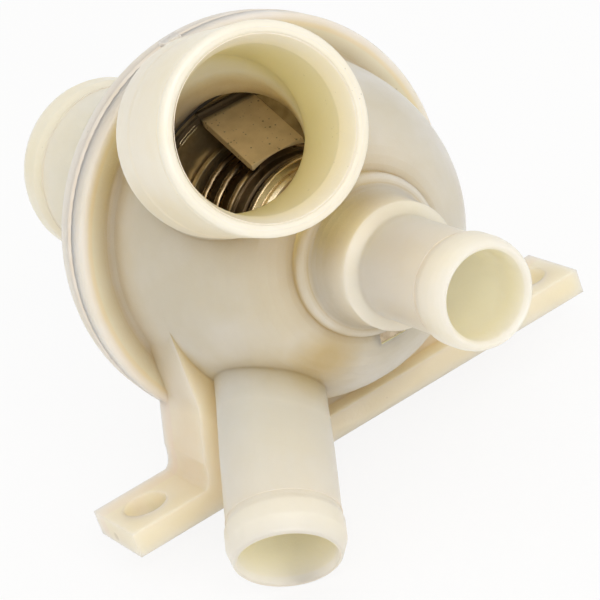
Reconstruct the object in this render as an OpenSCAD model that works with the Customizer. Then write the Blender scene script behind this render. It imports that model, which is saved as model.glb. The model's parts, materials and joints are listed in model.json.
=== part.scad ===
// Four-port coolant diverter valve with a wax thermostat inside.
// Frame: origin at the middle of the two bracket holes, on the underside of the bar.
// +Z up, the two small ports and the large port look towards -Y, the outlet towards +Y.

/* [Bracket bar] */
// length of the bar between its square ends
bar_len = 110; // [104:1:124]
// depth of the bar, front to back
bar_depth = 17; // [15:0.5:19]
// thickness of the bar
bar_t = 5.2; // [4.4:0.2:6.4]
// distance between the two screw holes
hole_pitch = 95; // [90:1:98]
// diameter of the screw holes, free fit for an M8 screw
hole_d = 8.8; // [8.2:0.2:9.4]
// height of the valve axis above the underside of the bar
axis_h = 42.2; // [41.8:0.2:44]
// distance of the flange face behind the hole centres
flange_y = 4.75; // [4.5:0.05:5.25]

/* [Flange] */
// radius of the flange at the joint face
flange_r = 41.1; // [41:0.1:42]
// radius of the flange at its rear edge
flange_rear_r = 40.8; // [40.2:0.2:41]
// thickness of the front half of the flange
flange_front_t = 4.9; // [4.6:0.1:5.4]
// thickness of the rear half of the flange
flange_rear_t = 4.9; // [4.4:0.1:5.4]
// moulding wall
wall = 3.2; // [2.8:0.1:3.4]

/* [Front dome] */
// dome radius where it leaves the flange
dome_r = 34.5; // [34:0.1:35.5]
// dome radius at its crown
crown_r = 15.3; // [15:0.1:16]
// forward reach of the dome's curve
dome_reach = 34.2; // [33.8:0.2:35]
// straight run before the curve starts
dome_straight = 1.6; // [1.4:0.1:2.4]

/* [Bypass port] */
// radius of the boss at the root of the port
boss_r = 15.5; // [15.4:0.1:16]
// forward reach of the boss edge from the flange face
boss_reach = 38.2; // [37.6:0.2:39]
// forward reach of the step's foot
step_reach = 48; // [47:0.5:49]
// radius at the step's foot
step_r = 12; // [11.4:0.2:12.4]
// radius of the port tube
by_tube_r = 9.6; // [9.4:0.1:9.9]
// radius of the end bead
by_bead_r = 10.3; // [10.1:0.1:10.6]
// outer radius at the mouth
by_mouth_r = 9.3; // [9.2:0.1:9.5]
// bore of the bypass port
by_bore_r = 8.1; // [7.8:0.1:8.2]
// forward reach of the mouth
by_mouth = 76.2; // [75:0.2:77]
// forward reach of the bead's back
by_bead = 69.2; // [68.4:0.2:70]

/* [Large port] */
// angle of the port to the valve axis
lp_tilt = 16.7; // [16:0.1:17.4]
// clock angle of the port round the valve axis, from +X towards +Z
lp_clock = 117.3; // [116:0.1:119]
// distance of the mouth's centre from the valve axis
lp_radial = 44.4; // [44:0.1:45]
// forward reach of the mouth's centre
lp_reach = 58; // [57:0.2:60]
// outer radius of the collar
lp_r = 18.5; // [18.2:0.1:19]
// depth of the fine groove behind the face
lp_groove = 0.25; // [0.1:0.05:0.4]
// length of the plain seat for the hose, from the groove back
lp_seat = 19.4; // [17:0.2:21]
// how much the collar's radius grows behind the seat, as a stop for the hose
lp_stop = 0.15; // [0.1:0.05:0.3]
// length of the collar
lp_len = 32.5; // [31.5:0.5:33.5]
// radius of the lead-in at the face
lp_lead_r = 16.4; // [16:0.1:17]
// depth of the lead-in
lp_lead = 5.7; // [5:0.1:6.5]
// bore of the large port
lp_bore_r = 14.8; // [14.4:0.1:15.2]
// bore at the bend, after the draft of the core
lp_bend_r = 14.2; // [13.8:0.1:14.4]
// step left where the two cores of the bore meet, hidden from the mouth
core_step = 0.15; // [0.15:0.05:0.4]
// depth at which the bore bends towards the chamber
lp_bend = 26.5; // [26:0.5:27]
// angle of the neck behind the collar to the valve axis
neck_tilt = 39; // [38.5:0.1:39.5]
// wall of the neck that joins the collar to the dome
neck_wall = 2.6; // [2.4:0.1:2.8]

/* [Lower port] */
// angle of the port to the valve axis
dp_tilt = 46.4; // [45.5:0.1:47]
// clock angle of the port round the valve axis
dp_clock = 224.8; // [223:0.1:226]
// distance of the mouth's centre from the valve axis
dp_radial = 57; // [56:0.2:58]
// forward reach of the mouth's centre
dp_reach = 47; // [46:0.2:48]
// radius of the tube
dp_tube_r = 10.8; // [10.6:0.1:11]
// radius of the tube where it leaves the dome
dp_root_r = 10.5; // [10.3:0.1:10.6]
// radius of the end bead
dp_bead_r = 11.2; // [11.1:0.1:11.6]
// outer radius at the mouth
dp_mouth_r = 10.1; // [10:0.1:10.4]
// distance of the bead's back from the mouth
dp_bead = 6.8; // [6.2:0.2:8]
// bore of the port
dp_bore_r = 9.1; // [8.6:0.1:9.3]
// length of the tube behind the mouth
dp_len = 50; // [49:0.5:51]

/* [Outlet] */
// radius of the outlet tube
out_tube_r = 18.6; // [18:0.1:19]
// radius of the bead at the outlet's end
out_bead_r = 19.5; // [19.2:0.1:20]
// bore of the outlet
out_bore_r = 15.4; // [14.8:0.1:15.6]
// rearward reach of the outlet's end
out_reach = 76.5; // [75:0.5:79]
// rearward reach of the cover's shoulder
shoulder_reach = 38; // [37:0.5:39]

/* [Legs and web] */
// outer half width of the legs at the dome
leg_top_x = 33.2; // [32.8:0.1:33.6]
// outer half width of the legs above the bar
leg_low_x = 36.2; // [35.6:0.1:36.8]
// outer half width of the flared foot
leg_foot_x = 38; // [37.6:0.2:39]
// width of a leg
leg_w = 9.5; // [8.5:0.5:10.5]
// recess of the web behind the front of the bar
web_recess = 4.4; // [3.8:0.2:5]

/* [Thermostat plate and gasket] */
// radius of the thermostat plate
plate_r = 30; // [29.6:0.1:30.2]
// thickness of the plate
plate_t = 1.4; // [1.2:0.1:1.6]
// radius of the valve seat in the plate
seat_r = 17; // [16.6:0.1:17.4]
// outer radius of the rubber gasket
gasket_r = 31; // [30.8:0.1:31.2]
// inner radius of the gasket lips
gasket_in_r = 27.3; // [27:0.1:27.6]
// thickness of the gasket
gasket_t = 3.5; // [3.3:0.1:3.6]
// cord diameter of the joint seal
seal_d = 2.6; // [2.4:0.1:2.8]
// radius of the joint seal's centre line
seal_ring_r = 34.6; // [34.2:0.1:35]

/* [Valve and capsule] */
// travel of the main valve
valve_travel = 7; // [6:0.1:7.4]
// how far the main valve disc covers its seat
valve_cover = 1.4; // [1.1:0.1:1.8]
// radius of the wax capsule's body
capsule_r = 7; // [6.6:0.1:7.2]
// radius of the capsule's flange
capsule_flange_r = 9; // [8.8:0.1:9.4]
// radius of the piston
piston_r = 2; // [1.8:0.1:2.2]
// wall of the brass cup
cup_wall = 0.8; // [0.7:0.1:1]
// running gap between the piston and the guide
piston_gap = 0.05; // [0.03:0.01:0.09]
// length of the piston
piston_len = 23.5; // [23:0.1:24]
// rearward reach of the bridge over the seat
bridge_reach = 17.5; // [17:0.1:18]
// width of the bridge strap
bridge_w = 9; // [8:0.5:10]
// thickness of the bridge strap
bridge_t = 1.2; // [1:0.1:1.4]
// width of a bridge foot
bridge_foot = 4.4; // [4:0.1:4.8]
// flat crown of the bridge, half of its length
bridge_crown = 8; // [7.4:0.1:8.6]

/* [Springs and cage] */
// wire diameter of the main spring
main_wire = 1.6; // [1.5:0.1:1.7]
// radius of the main spring at the valve
main_r_big = 16.2; // [15.8:0.1:16.6]
// radius of the main spring at its seat
main_r_small = 15.2; // [14.8:0.1:15.4]
// radius of the cage's legs where they rise from their feet
cage_root_r = 24.9; // [24.6:0.1:25.2]
// width of the spring seat's two tabs
tab_w = 7.6; // [7:0.2:8]
// width of a cage leg
cage_w = 12; // [11:0.5:13]
// thickness of the cage strip
cage_t = 1.2; // [1:0.1:1.4]
// forward reach of the cage
cage_reach = 14.4; // [14.2:0.1:14.8]
// radius of the cage at its front
cage_front_r = 17.9; // [17.8:0.1:18.3]
// wire diameter of the bypass spring
by_wire = 1; // [0.8:0.1:1.1]

/* [Bypass valve] */
// radius of the bypass disc
disc_r = 16.9; // [16.6:0.1:17.2]
// forward reach of the disc's rim at rest
disc_reach = 20.3; // [20:0.1:20.6]
// radius of the stem
stem_r = 2.5; // [2.3:0.1:2.7]
// running gap between stem and disc
stem_gap = 0.08; // [0.05:0.01:0.1]

/* [Air vent] */
// distance of the vent pin from the valve axis
vent_radial = 22.2; // [22:0.1:22.4]
// clock angle of the vent pin
vent_clock = 38; // [30:2:50]
// radius of the vent pin's shank
vent_r = 1.2; // [1:0.1:1.3]

/* [Hidden] */
$fn = 96;
eps = 0.01;
fine = 96;
bar_back = bar_depth / 2;
joint_gap = 0.05;
plate_front = 2.6;
plate_back = plate_front + plate_t;
gasket_front = plate_front + plate_t / 2 - gasket_t / 2;
gasket_back = gasket_front + gasket_t;
chamber_r = dome_r - wall;
front_throat_r = gasket_in_r + 1.6;
throat_r = gasket_in_r - 0.4;
root_r = throat_r - 0.4;
valve_r = seat_r + valve_cover;
seat_lip = 1.6;
chamber_front = dome_straight + dome_reach - wall;
by_seat = disc_reach + 1.5 + valve_travel + 0.25;
by_seat_r = 12.2;
lp_back_r = lp_radial - lp_len * sin(lp_tilt);
lp_back_s = lp_reach - lp_len * cos(lp_tilt);
neck_r = lp_bend_r + neck_wall;
valve_t = 1.2;
valve_front = -plate_front + valve_t + 0.05;
cup_front = 15.6;
cup_back = -1.5;
guide_back = -10.5;
stem_end = 25.4;
seat_ring_s = cage_reach - cage_t;

// ---------- helpers ----------

// The valve axis: local +Z runs forward (-Y), local X is X, local Y is up.
module axial() {
    translate([0, flange_y, axis_h])
        rotate([90, 0, 0])
            children();
}

// A turned body on the valve axis from a half profile of [radius, forward reach].
module turned(profile) {
    axial()
        rotate_extrude($fn = fine)
            polygon(profile);
}

// A port frame: origin at the mouth's centre, local +Z out of the mouth.
module port(clock, tilt, radial, reach) {
    axial()
        rotate([0, 0, clock])
            translate([radial, 0, reach])
                rotate([0, tilt, 0])
                    children();
}

// Points of an elliptic quarter from the flange side to the crown.
function quarter(r0, r1, s0, rise, step) =
    [for (t = [0:step:90]) [r1 + (r0 - r1) * cos(t), s0 + rise * sin(t)]];

// Points of an arc in the profile plane.
function arc(cr, cs, rad, a0, a1, n) =
    [for (i = [0:n]) [cr + rad * cos(a0 + (a1 - a0) * i / n), cs + rad * sin(a0 + (a1 - a0) * i / n)]];

// A helical wire from ring to ring, closed flat at both ends.
module coil(r0, r1, s0, s1, turns, wire, per_turn) {
    n = round(turns * per_turn);
    pts = [for (i = [0:n]) let (k = i / n, a = 360 * turns * k, e = 0.5 - 0.5 * cos(180 * k))
        [(r0 + (r1 - r0) * k) * cos(a), (r0 + (r1 - r0) * k) * sin(a), s0 + (s1 - s0) * (0.5 * k + 0.5 * e)]];
    sides = 10;
    tan_at = [for (i = [0:n]) let (p = pts[max(i - 1, 0)], q = pts[min(i + 1, n)]) (q - p) / norm(q - p)];
    rings = [for (i = [0:n]) let (
            t = tan_at[i],
            a = 360 * turns * i / n,
            u = [cos(a), sin(a), 0],
            uu = (u - (u * t) * t) / norm(u - (u * t) * t),
            v = cross(t, uu))
        [for (j = [0:sides - 1]) pts[i] + wire / 2 * (cos(360 * j / sides) * uu + sin(360 * j / sides) * v)]];
    all_pts = [for (ring = rings) each ring];
    sides_f = [for (i = [0:n - 1]) for (j = [0:sides - 1])
        [i * sides + j, i * sides + (j + 1) % sides, (i + 1) * sides + (j + 1) % sides, (i + 1) * sides + j]];
    cap0 = [for (j = [0:sides - 1]) j];
    cap1 = [for (j = [sides - 1:-1:0]) n * sides + j];
    polyhedron(points = all_pts, faces = concat([cap0], [cap1], [for (f = sides_f) [f[3], f[2], f[1], f[0]]]));
}

// ---------- front housing ----------

module dome_outer() {
    turned(concat(
        [[0, -flange_front_t], [flange_r, -flange_front_t]],
        [[flange_r, -0.9]],
        arc(flange_r - 0.9, -0.9, 0.9, 0, 90, 4),
        [[dome_r + 1.6, 0]],
        arc(dome_r + 1.6, 1.6, 1.6, 270, 180, 5),
        quarter(dome_r, crown_r, dome_straight, dome_reach, 5),
        [[0, dome_straight + dome_reach]]));
}

module bypass_outer() {
    turned(concat(
        [[0, 20], [boss_r + 0.5, 20]],
        [[boss_r, boss_reach - 1.8]],
        arc(boss_r - 1.8, boss_reach - 1.8, 1.8, 0, 80, 5),
        [for (t = [0:15:90]) [step_r + (boss_r - 1.8 - step_r) * (1 - sin(t)), step_reach - (step_reach - boss_reach) * cos(t)]],
        [[by_tube_r + 0.15, step_reach + 1.4], [by_tube_r, step_reach + 2.2]],
        [[by_tube_r, by_bead - 0.5], [by_bead_r, by_bead + 0.3], [by_bead_r, by_mouth - 3.4]],
        [[by_mouth_r + 0.75, by_mouth - 1.8], [by_mouth_r + 0.35, by_mouth - 0.7], [by_mouth_r - 0.2, by_mouth]],
        [[0, by_mouth]]));
}

module collar_outer() {
    port(lp_clock, lp_tilt, lp_radial, lp_reach)
        rotate_extrude($fn = fine)
            polygon(concat(
                [[0, -lp_len], [lp_r + lp_stop - 0.7, -lp_len], [lp_r + lp_stop - 0.2, -lp_len + 0.25]],
                [[lp_r + lp_stop, -lp_len + 0.8], [lp_r + lp_stop, -lp_seat - 3.8]],
                [[lp_r, -lp_seat - 2.6], [lp_r, -2.6], [lp_r - lp_groove, -2.4], [lp_r - lp_groove, -2.1], [lp_r, -1.9]],
                arc(lp_r - 1, -1, 1, 0, 90, 4),
                [[0, 0]]));
}

// The large port's bend: origin on its axis, local +Z towards the mouth, turned by part of the bend.
module bend_frame(share) {
    port(lp_clock, lp_tilt, lp_radial, lp_reach)
        translate([0, 0, -lp_bend])
            rotate([0, share * (neck_tilt - lp_tilt), 0])
                children();
}

module neck_outer() {
    intersection() {
        bend_frame(1)
            translate([0, 0, -lp_reach])
                cylinder(h = lp_reach, r = neck_r, $fn = fine);
        axial()
            translate([0, 0, -1])
                cylinder(h = lp_reach, r = lp_radial + lp_r);
        port(lp_clock, lp_tilt, lp_radial, lp_reach)
            translate([0, 0, -lp_len - lp_reach])
                cylinder(h = lp_reach + 0.5, r = lp_reach);
    }
}

module lower_outer() {
    port(dp_clock, dp_tilt, dp_radial, dp_reach)
        rotate_extrude($fn = fine)
            polygon(concat(
                [[0, -dp_len], [dp_root_r, -dp_len], [dp_root_r, -dp_len + 14], [dp_tube_r, -dp_len + 28], [dp_tube_r, -dp_bead - 0.8]],
                [[dp_bead_r, -dp_bead + 0.2], [dp_bead_r, -3.4]],
                [[dp_bead_r - 0.4, -2.2], [dp_mouth_r + 0.35, -1.1], [dp_mouth_r + 0.1, -0.4], [dp_mouth_r - 0.3, 0]],
                [[0, 0]]));
}

module bar() {
    difference() {
        translate([-bar_len / 2, -bar_depth / 2, 0])
            cube([bar_len, bar_depth, bar_t]);
        for (side = [-1, 1])
            translate([side * hole_pitch / 2, 0, -eps])
                cylinder(h = bar_t + 2 * eps, r = hole_d / 2, $fn = 48);
    }
}

// One leg as seen from the front: a strip whose outer edge leans out and flares at its foot.
module leg_outline() {
    foot = bar_t - 0.4;
    polygon(concat(
        [[leg_top_x - leg_w, axis_h - 3], [leg_top_x - 0.1, axis_h - 3]],
        [[leg_top_x, bar_t + 16], [leg_low_x, bar_t + 5]],
        [for (t = [15:15:75]) [leg_low_x + (leg_foot_x - leg_low_x) * (1 - cos(t)), bar_t + 5 - 4.8 * sin(t)]],
        [[leg_foot_x, bar_t], [leg_foot_x, foot], [leg_low_x - leg_w - 0.4, foot]],
        [[leg_low_x - leg_w, bar_t + 1.2]]));
}

module legs() {
    for (side = [0, 1])
        mirror([side, 0, 0])
            translate([0, bar_back, 0])
                rotate([90, 0, 0])
                    linear_extrude(height = bar_depth)
                        leg_outline();
}

module web() {
    translate([-leg_low_x + leg_w / 2, -bar_depth / 2 + web_recess, bar_t - 0.4])
        cube([2 * leg_low_x - leg_w, flange_y + bar_depth / 2 - web_recess + 1, 12]);
}

// Small moulded tongue on the rim of the front flange.
module rim_tab() {
    axial()
        rotate([0, 0, 97])
            translate([flange_r - 1, -1.8, -flange_front_t])
                cube([2, 3.6, 3]);
}

module front_inside() {
    turned(concat(
        [[0, -flange_front_t - eps], [gasket_r + 0.2, -flange_front_t - eps], [gasket_r + 0.2, -gasket_front + 0.05]],
        [[front_throat_r, -gasket_front + 0.05], [front_throat_r, 0.6]],
        [[chamber_r - 0.6, 3.4]],
        [for (t = [10:8:74]) [crown_r + (chamber_r - crown_r) * cos(t), dome_straight + (dome_reach - wall) * sin(t)]],
        [[by_seat_r + 5.4, chamber_front - 0.9], [by_seat_r + 2.4, chamber_front - 0.9]],
        [[by_seat_r + 1.9, by_seat], [by_seat_r, by_seat]],
        [[by_seat_r, boss_reach - wall + 0.6], [by_bore_r + 0.2, step_reach - 1.2]],
        [[by_bore_r, step_reach + 2], [by_bore_r, by_mouth - 0.8], [by_bore_r + 0.6, by_mouth + eps]],
        [[0, by_mouth + eps]]));
}

// The bore and the wider passage behind it meet in a mitre, as two cores do.
module large_inside() {
    intersection() {
        port(lp_clock, lp_tilt, lp_radial, lp_reach)
            rotate_extrude($fn = fine)
                polygon([[0, -lp_reach], [lp_bend_r, -lp_reach], [lp_bend_r, -lp_bend], [lp_bore_r, -lp_lead], [lp_lead_r - 0.3, -0.9],
                    [lp_lead_r - 0.1, -0.8], [lp_lead_r, eps], [0, eps]]);
        bend_frame(0.5)
            translate([0, 0, -core_step])
                cylinder(h = lp_reach, r = lp_reach, $fn = fine);
    }
    intersection() {
        bend_frame(1)
            translate([0, 0, -lp_reach])
                cylinder(h = 2 * lp_reach, r = lp_bend_r + core_step, $fn = fine);
        bend_frame(0.5)
            translate([0, 0, -lp_reach])
                cylinder(h = lp_reach, r = lp_reach, $fn = fine);
        axial()
            translate([0, 0, 0.6])
                cylinder(h = lp_reach, r = lp_radial + lp_r);
    }
}

module lower_inside() {
    port(dp_clock, dp_tilt, dp_radial, dp_reach)
        rotate_extrude($fn = fine)
            polygon([[0, -dp_len + 2], [dp_bore_r - 0.4, -dp_len + 2], [dp_bore_r, -4], [dp_bore_r, -1.6],
                [dp_bore_r + 0.4, eps], [0, eps]]);
}

// Groove of the joint seal, shared by both halves of the flange.
module seal_groove(extra) {
    axial()
        translate([0, 0, -flange_front_t])
            rotate_extrude($fn = fine)
                translate([seal_ring_r, 0])
                    square([seal_d + extra, seal_d * 0.84 + extra], center = true);
}

module front_housing() {
    color([0.93, 0.9, 0.8])
        difference() {
            union() {
                dome_outer();
                bypass_outer();
                collar_outer();
                neck_outer();
                lower_outer();
                bar();
                legs();
                web();
                rim_tab();
            }
            front_inside();
            large_inside();
            lower_inside();
            seal_groove(0.1);
            // flat gate scar under the boss
            axial()
                rotate([0, 0, -90])
                    translate([boss_r - 0.5, -2.8, boss_reach - 6.2])
                        cube([3, 5.6, 4]);
            // screw holes again, through the feet of the legs
            for (side = [-1, 1])
                translate([side * hole_pitch / 2, 0, -eps])
                    cylinder(h = bar_t + 4, r = hole_d / 2, $fn = 48);
        }
}

// ---------- rear cover ----------

module rear_cover() {
    face = -flange_front_t - joint_gap;
    rim = face - flange_rear_t;
    inner_r = out_tube_r - wall;
    color([0.92, 0.89, 0.79])
        difference() {
            turned(concat(
                [[0, face], [flange_r - 0.1, face], [flange_rear_r, rim + 0.8], [flange_rear_r - 0.8, rim]],
                [[dome_r + 1.4, rim], [dome_r, rim - 1.4]],
                [for (t = [10:10:80]) [out_tube_r + 0.6 + (dome_r - out_tube_r - 0.6) * cos(t),
                    rim - 1.4 - (shoulder_reach + rim - 1.4) * sin(t)]],
                [[out_tube_r + 0.6, -shoulder_reach], [out_tube_r, -shoulder_reach - 2]],
                [[out_tube_r, -out_reach + 9.2], [out_bead_r, -out_reach + 7.6], [out_bead_r, -out_reach + 3.2]],
                [[out_bead_r - 0.5, -out_reach + 1.4], [out_bead_r - 1.5, -out_reach + 0.4], [out_bead_r - 2.4, -out_reach]],
                [[0, -out_reach]]));
            turned(concat(
                [[0, face + eps], [gasket_r + 0.2, face + eps], [gasket_r + 0.2, -gasket_back - 0.05]],
                [[throat_r, -gasket_back - 0.05], [throat_r, -gasket_back - 1.6]],
                [[chamber_r - 2, rim - 2.6]],
                [for (t = [20:10:80]) [inner_r + (chamber_r - inner_r) * cos(t), rim - (shoulder_reach + rim - wall) * sin(t)]],
                [[out_bore_r, -shoulder_reach], [out_bore_r, -out_reach + 1], [out_bore_r + 0.8, -out_reach - eps]],
                [[0, -out_reach - eps]]));
            seal_groove(0.1);
        }
}

// ---------- seals ----------

module joint_seal() {
    color([0.12, 0.12, 0.12])
        axial()
            translate([0, 0, -flange_front_t])
                rotate_extrude($fn = fine)
                    translate([seal_ring_r, 0])
                        square([seal_d, seal_d * 0.84], center = true);
}

module plate_gasket() {
    lip = 1.2;
    color([0.1, 0.1, 0.1])
        difference() {
            turned([[gasket_in_r, -gasket_back], [gasket_in_r + 0.7, -gasket_back], [gasket_in_r + 1, -gasket_back + 0.2],
                [gasket_r, -gasket_back + 0.2], [gasket_r, -gasket_front - 0.2], [gasket_in_r + 1, -gasket_front - 0.2],
                [gasket_in_r + 0.7, -gasket_front], [gasket_in_r, -gasket_front]]);
            turned([[gasket_in_r - 1, -plate_back], [plate_r + 0.05, -plate_back],
                [plate_r + 0.05, -plate_front], [gasket_in_r - 1, -plate_front]]);
        }
}

// ---------- thermostat, fixed pieces ----------

module thermostat_plate() {
    color([0.75, 0.68, 0.5])
        difference() {
            turned([[seat_r, -plate_back - seat_lip], [seat_r + plate_t, -plate_back - seat_lip],
                [seat_r + plate_t + 0.6, -plate_back],
                [plate_r, -plate_back], [plate_r, -plate_front], [seat_r + 0.9, -plate_front], [seat_r, -plate_front - 0.9]]);
            axial()
                rotate([0, 0, vent_clock])
                    translate([vent_radial, 0, -plate_back - 1])
                        cylinder(h = plate_t + 2, r = vent_r + 0.5, $fn = 32);
        }
}

// Strap over the seat on the outlet side; its crown holds the end of the piston.
module rear_bridge() {
    foot_out = root_r - 0.5;
    foot_in = foot_out - bridge_foot;
    foot = -plate_back;
    color([0.72, 0.65, 0.46])
        difference() {
            union() {
                axial()
                    rotate([90, 0, 0])
                        translate([0, 0, -bridge_w / 2])
                            linear_extrude(height = bridge_w)
                                for (side = [0, 1])
                                    mirror([side, 0])
                                        polygon([[0, -bridge_reach], [bridge_crown, -bridge_reach],
                                            [bridge_crown + 2.5, -bridge_reach + bridge_t],
                                            [foot_in, foot - bridge_t], [foot_out, foot - bridge_t], [foot_out, foot],
                                            [foot_in - 0.8, foot], [bridge_crown + 1.7, -bridge_reach + 2 * bridge_t],
                                            [bridge_crown - 0.3, -bridge_reach + bridge_t], [0, -bridge_reach + bridge_t]]);
                axial()
                    translate([0, 0, -bridge_reach])
                        cylinder(h = 4, r = piston_r + 1.4, $fn = 40);
            }
            axial()
                translate([0, 0, -bridge_reach + 1])
                    cylinder(h = 5, r = piston_r + 0.02, $fn = 64);
            // room round the seat's rolled lip
            axial()
                translate([0, 0, foot - seat_lip - 0.2])
                    cylinder(h = seat_lip + 1, r = seat_r + plate_t + 0.9);
        }
}

module piston() {
    color([0.8, 0.8, 0.8])
        axial()
            translate([0, 0, -bridge_reach + 1])
                rotate_extrude($fn = 32)
                    polygon([[0, 0], [piston_r, 0], [piston_r, piston_len - 3.5],
                        [piston_r - 1.1, piston_len], [0, piston_len]]);
}

// A foot ring on the plate with two legs that lean in to the spring seat.
module cage() {
    ring_in = cage_front_r - 0.15;
    foot_out = gasket_in_r - 1;
    foot_top = -plate_front + cage_t;
    slope = (cage_root_r - cage_front_r - 0.4) / (cage_reach - 1.4);
    color([0.7, 0.6, 0.38])
        difference() {
            union() {
                turned([[cage_root_r + 0.2, -plate_front], [foot_out, -plate_front],
                    [foot_out, foot_top], [cage_root_r + 0.2, foot_top]]);
                for (turn = [90, 270])
                    axial()
                        rotate([0, 0, turn])
                            translate([0, cage_w / 2, 0])
                                rotate([90, 0, 0])
                                    linear_extrude(height = cage_w)
                                        polygon([[foot_out, -plate_front], [foot_out, foot_top],
                                            [cage_root_r + 0.8, foot_top + 0.1], [cage_root_r + 0.3, foot_top + 0.6],
                                            [cage_root_r + 0.1, foot_top + 1.3], [cage_root_r, foot_top + 2],
                                            [cage_front_r + 0.4, cage_reach - 0.8], [cage_front_r, cage_reach],
                                            [cage_front_r - 3, cage_reach], [cage_front_r - 3, cage_reach - cage_t],
                                            [cage_front_r - 0.9, cage_reach - cage_t],
                                            [cage_front_r + 0.4 - cage_t, cage_reach - cage_t - 0.6],
                                            [cage_root_r + slope - 1.1 * cage_t, foot_top], [cage_root_r - 0.5 * cage_t, -plate_front]]);
            }
            axial()
                translate([0, 0, seat_ring_s])
                    cylinder(h = 5, r = ring_in);
            // pressed pockets inside the legs for the seat's tabs
            for (turn = [90, 270])
                axial()
                    rotate([0, 0, turn])
                        translate([cage_front_r - 4, -tab_w / 2 - 0.2, seat_ring_s - 1.05])
                            cube([3.8, tab_w + 0.4, 1.1]);
        }
}

module spring_seat() {
    rim = cage_front_r - 1.3;
    color([0.5, 0.46, 0.38]) {
        turned([[11.4, seat_ring_s - 1], [rim, seat_ring_s - 1], [rim, seat_ring_s], [16.2, seat_ring_s],
            [16.2, seat_ring_s + 2.9], [15.6, seat_ring_s + 3.1], [15.2, seat_ring_s + 2.9],
            [15.2, seat_ring_s], [11.4, seat_ring_s]]);
        for (turn = [90, 270])
            axial()
                rotate([0, 0, turn])
                    intersection() {
                        translate([rim - 1, -tab_w / 2, seat_ring_s - 1])
                            cube([4, tab_w, 1]);
                        translate([0, 0, seat_ring_s - 2])
                            cylinder(h = 3, r = cage_front_r - 0.25);
                    }
    }
}

module main_spring() {
    color([0.75, 0.72, 0.66])
        axial()
            coil(main_r_big, main_r_small, valve_front + main_wire / 2 + 0.1, seat_ring_s - 1 - main_wire / 2 - 0.1,
                2.8, main_wire, 30);
}

// ---------- thermostat, pieces that travel ----------

module main_valve() {
    color([0.76, 0.7, 0.52])
        difference() {
            turned([[capsule_r - 0.2, valve_front - valve_t + 0.2], [seat_r - 2.6, valve_front - valve_t + 0.2],
                [seat_r - 2.2, valve_front - valve_t + 0.05], [valve_r - 0.9, valve_front - valve_t + 0.05],
                [valve_r, valve_front - 0.6], [valve_r, valve_front + 0.9], [valve_r - 1, valve_front + 0.9],
                [valve_r - 1.1, valve_front], [capsule_flange_r + 0.3, valve_front], [capsule_flange_r, valve_front + 0.8],
                [capsule_r - 0.2, valve_front + 0.8]]);
            axial()
                translate([0, 0, -20])
                    cylinder(h = 40, r = capsule_r + 0.02);
        }
}

// Soft lip under the disc that closes on the seat.
module valve_lip() {
    color([0.14, 0.14, 0.14])
        turned([[seat_r - 2.8, valve_front - valve_t - 0.9], [seat_r - 0.3, valve_front - valve_t - 0.9],
            [seat_r - 0.1, valve_front - valve_t - 0.4], [seat_r - 0.1, valve_front - valve_t + 0.04],
            [seat_r - 2.2, valve_front - valve_t + 0.04], [seat_r - 2.6, valve_front - valve_t + 0.19],
            [seat_r - 2.8, valve_front - valve_t + 0.19]]);
}

module wax_cup() {
    color([0.72, 0.55, 0.32])
        turned([[0, cup_front - cup_wall], [capsule_r - cup_wall, cup_front - cup_wall],
            [capsule_r - cup_wall, cup_back + 0.6], [capsule_r - cup_wall - 1.4, cup_back - 0.2],
            [capsule_r - cup_wall - 1.4, cup_back - 1], [capsule_r - 0.6, cup_back - 1], [capsule_r, cup_back - 0.4],
            [capsule_r, cup_front - 1.4], [capsule_r - 0.5, cup_front - 0.4], [capsule_r - 1.4, cup_front],
            [0, cup_front]]);
}

module wax_charge() {
    color([0.85, 0.75, 0.55])
        turned([[0, 10.4], [4.6, 8.2], [4.6, 2.2], [capsule_r - cup_wall - 0.05, 2.2],
            [capsule_r - cup_wall - 0.05, cup_front - cup_wall - 0.05], [0, cup_front - cup_wall - 0.05]]);
}

module rubber_sleeve() {
    color([0.2, 0.2, 0.2])
        turned([[piston_r + piston_gap, 0.9], [capsule_r - cup_wall - 0.05, 0.9], [capsule_r - cup_wall - 0.05, 2.15],
            [4.55, 2.15], [4.55, 8.15], [0, 10.3], [0, 7.1], [piston_r - 1.1 + piston_gap, 7.1],
            [piston_r + piston_gap, 3.5]]);
}

module guide_bush() {
    color([0.74, 0.6, 0.35])
        turned([[piston_r + piston_gap, guide_back], [4.1, guide_back], [4.7, guide_back + 0.7],
            [4.7, cup_back - 0.25], [capsule_r - cup_wall - 0.05, cup_back + 0.65],
            [capsule_r - cup_wall - 0.05, 0.85], [piston_r + piston_gap, 0.85]]);
}

module bypass_stem() {
    color([0.7, 0.56, 0.34])
        difference() {
            turned([[0, cup_front], [stem_r + 1.2, cup_front], [stem_r + 1.2, cup_front + 0.8], [stem_r, cup_front + 1.2],
                [stem_r, stem_end - 0.5], [stem_r - 0.5, stem_end], [0, stem_end]]);
            turned([[stem_r - 0.6, stem_end - 2.4], [stem_r + 1, stem_end - 2.4],
                [stem_r + 1, stem_end - 1.5], [stem_r - 0.6, stem_end - 1.5]]);
        }
}

module bypass_spring() {
    color([0.78, 0.76, 0.7])
        axial()
            coil(stem_r + 2.4, 10.4, cup_front + by_wire / 2 + 0.1, disc_reach - 1.3 - by_wire / 2 - 0.1, 2.4, by_wire, 24);
}

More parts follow.
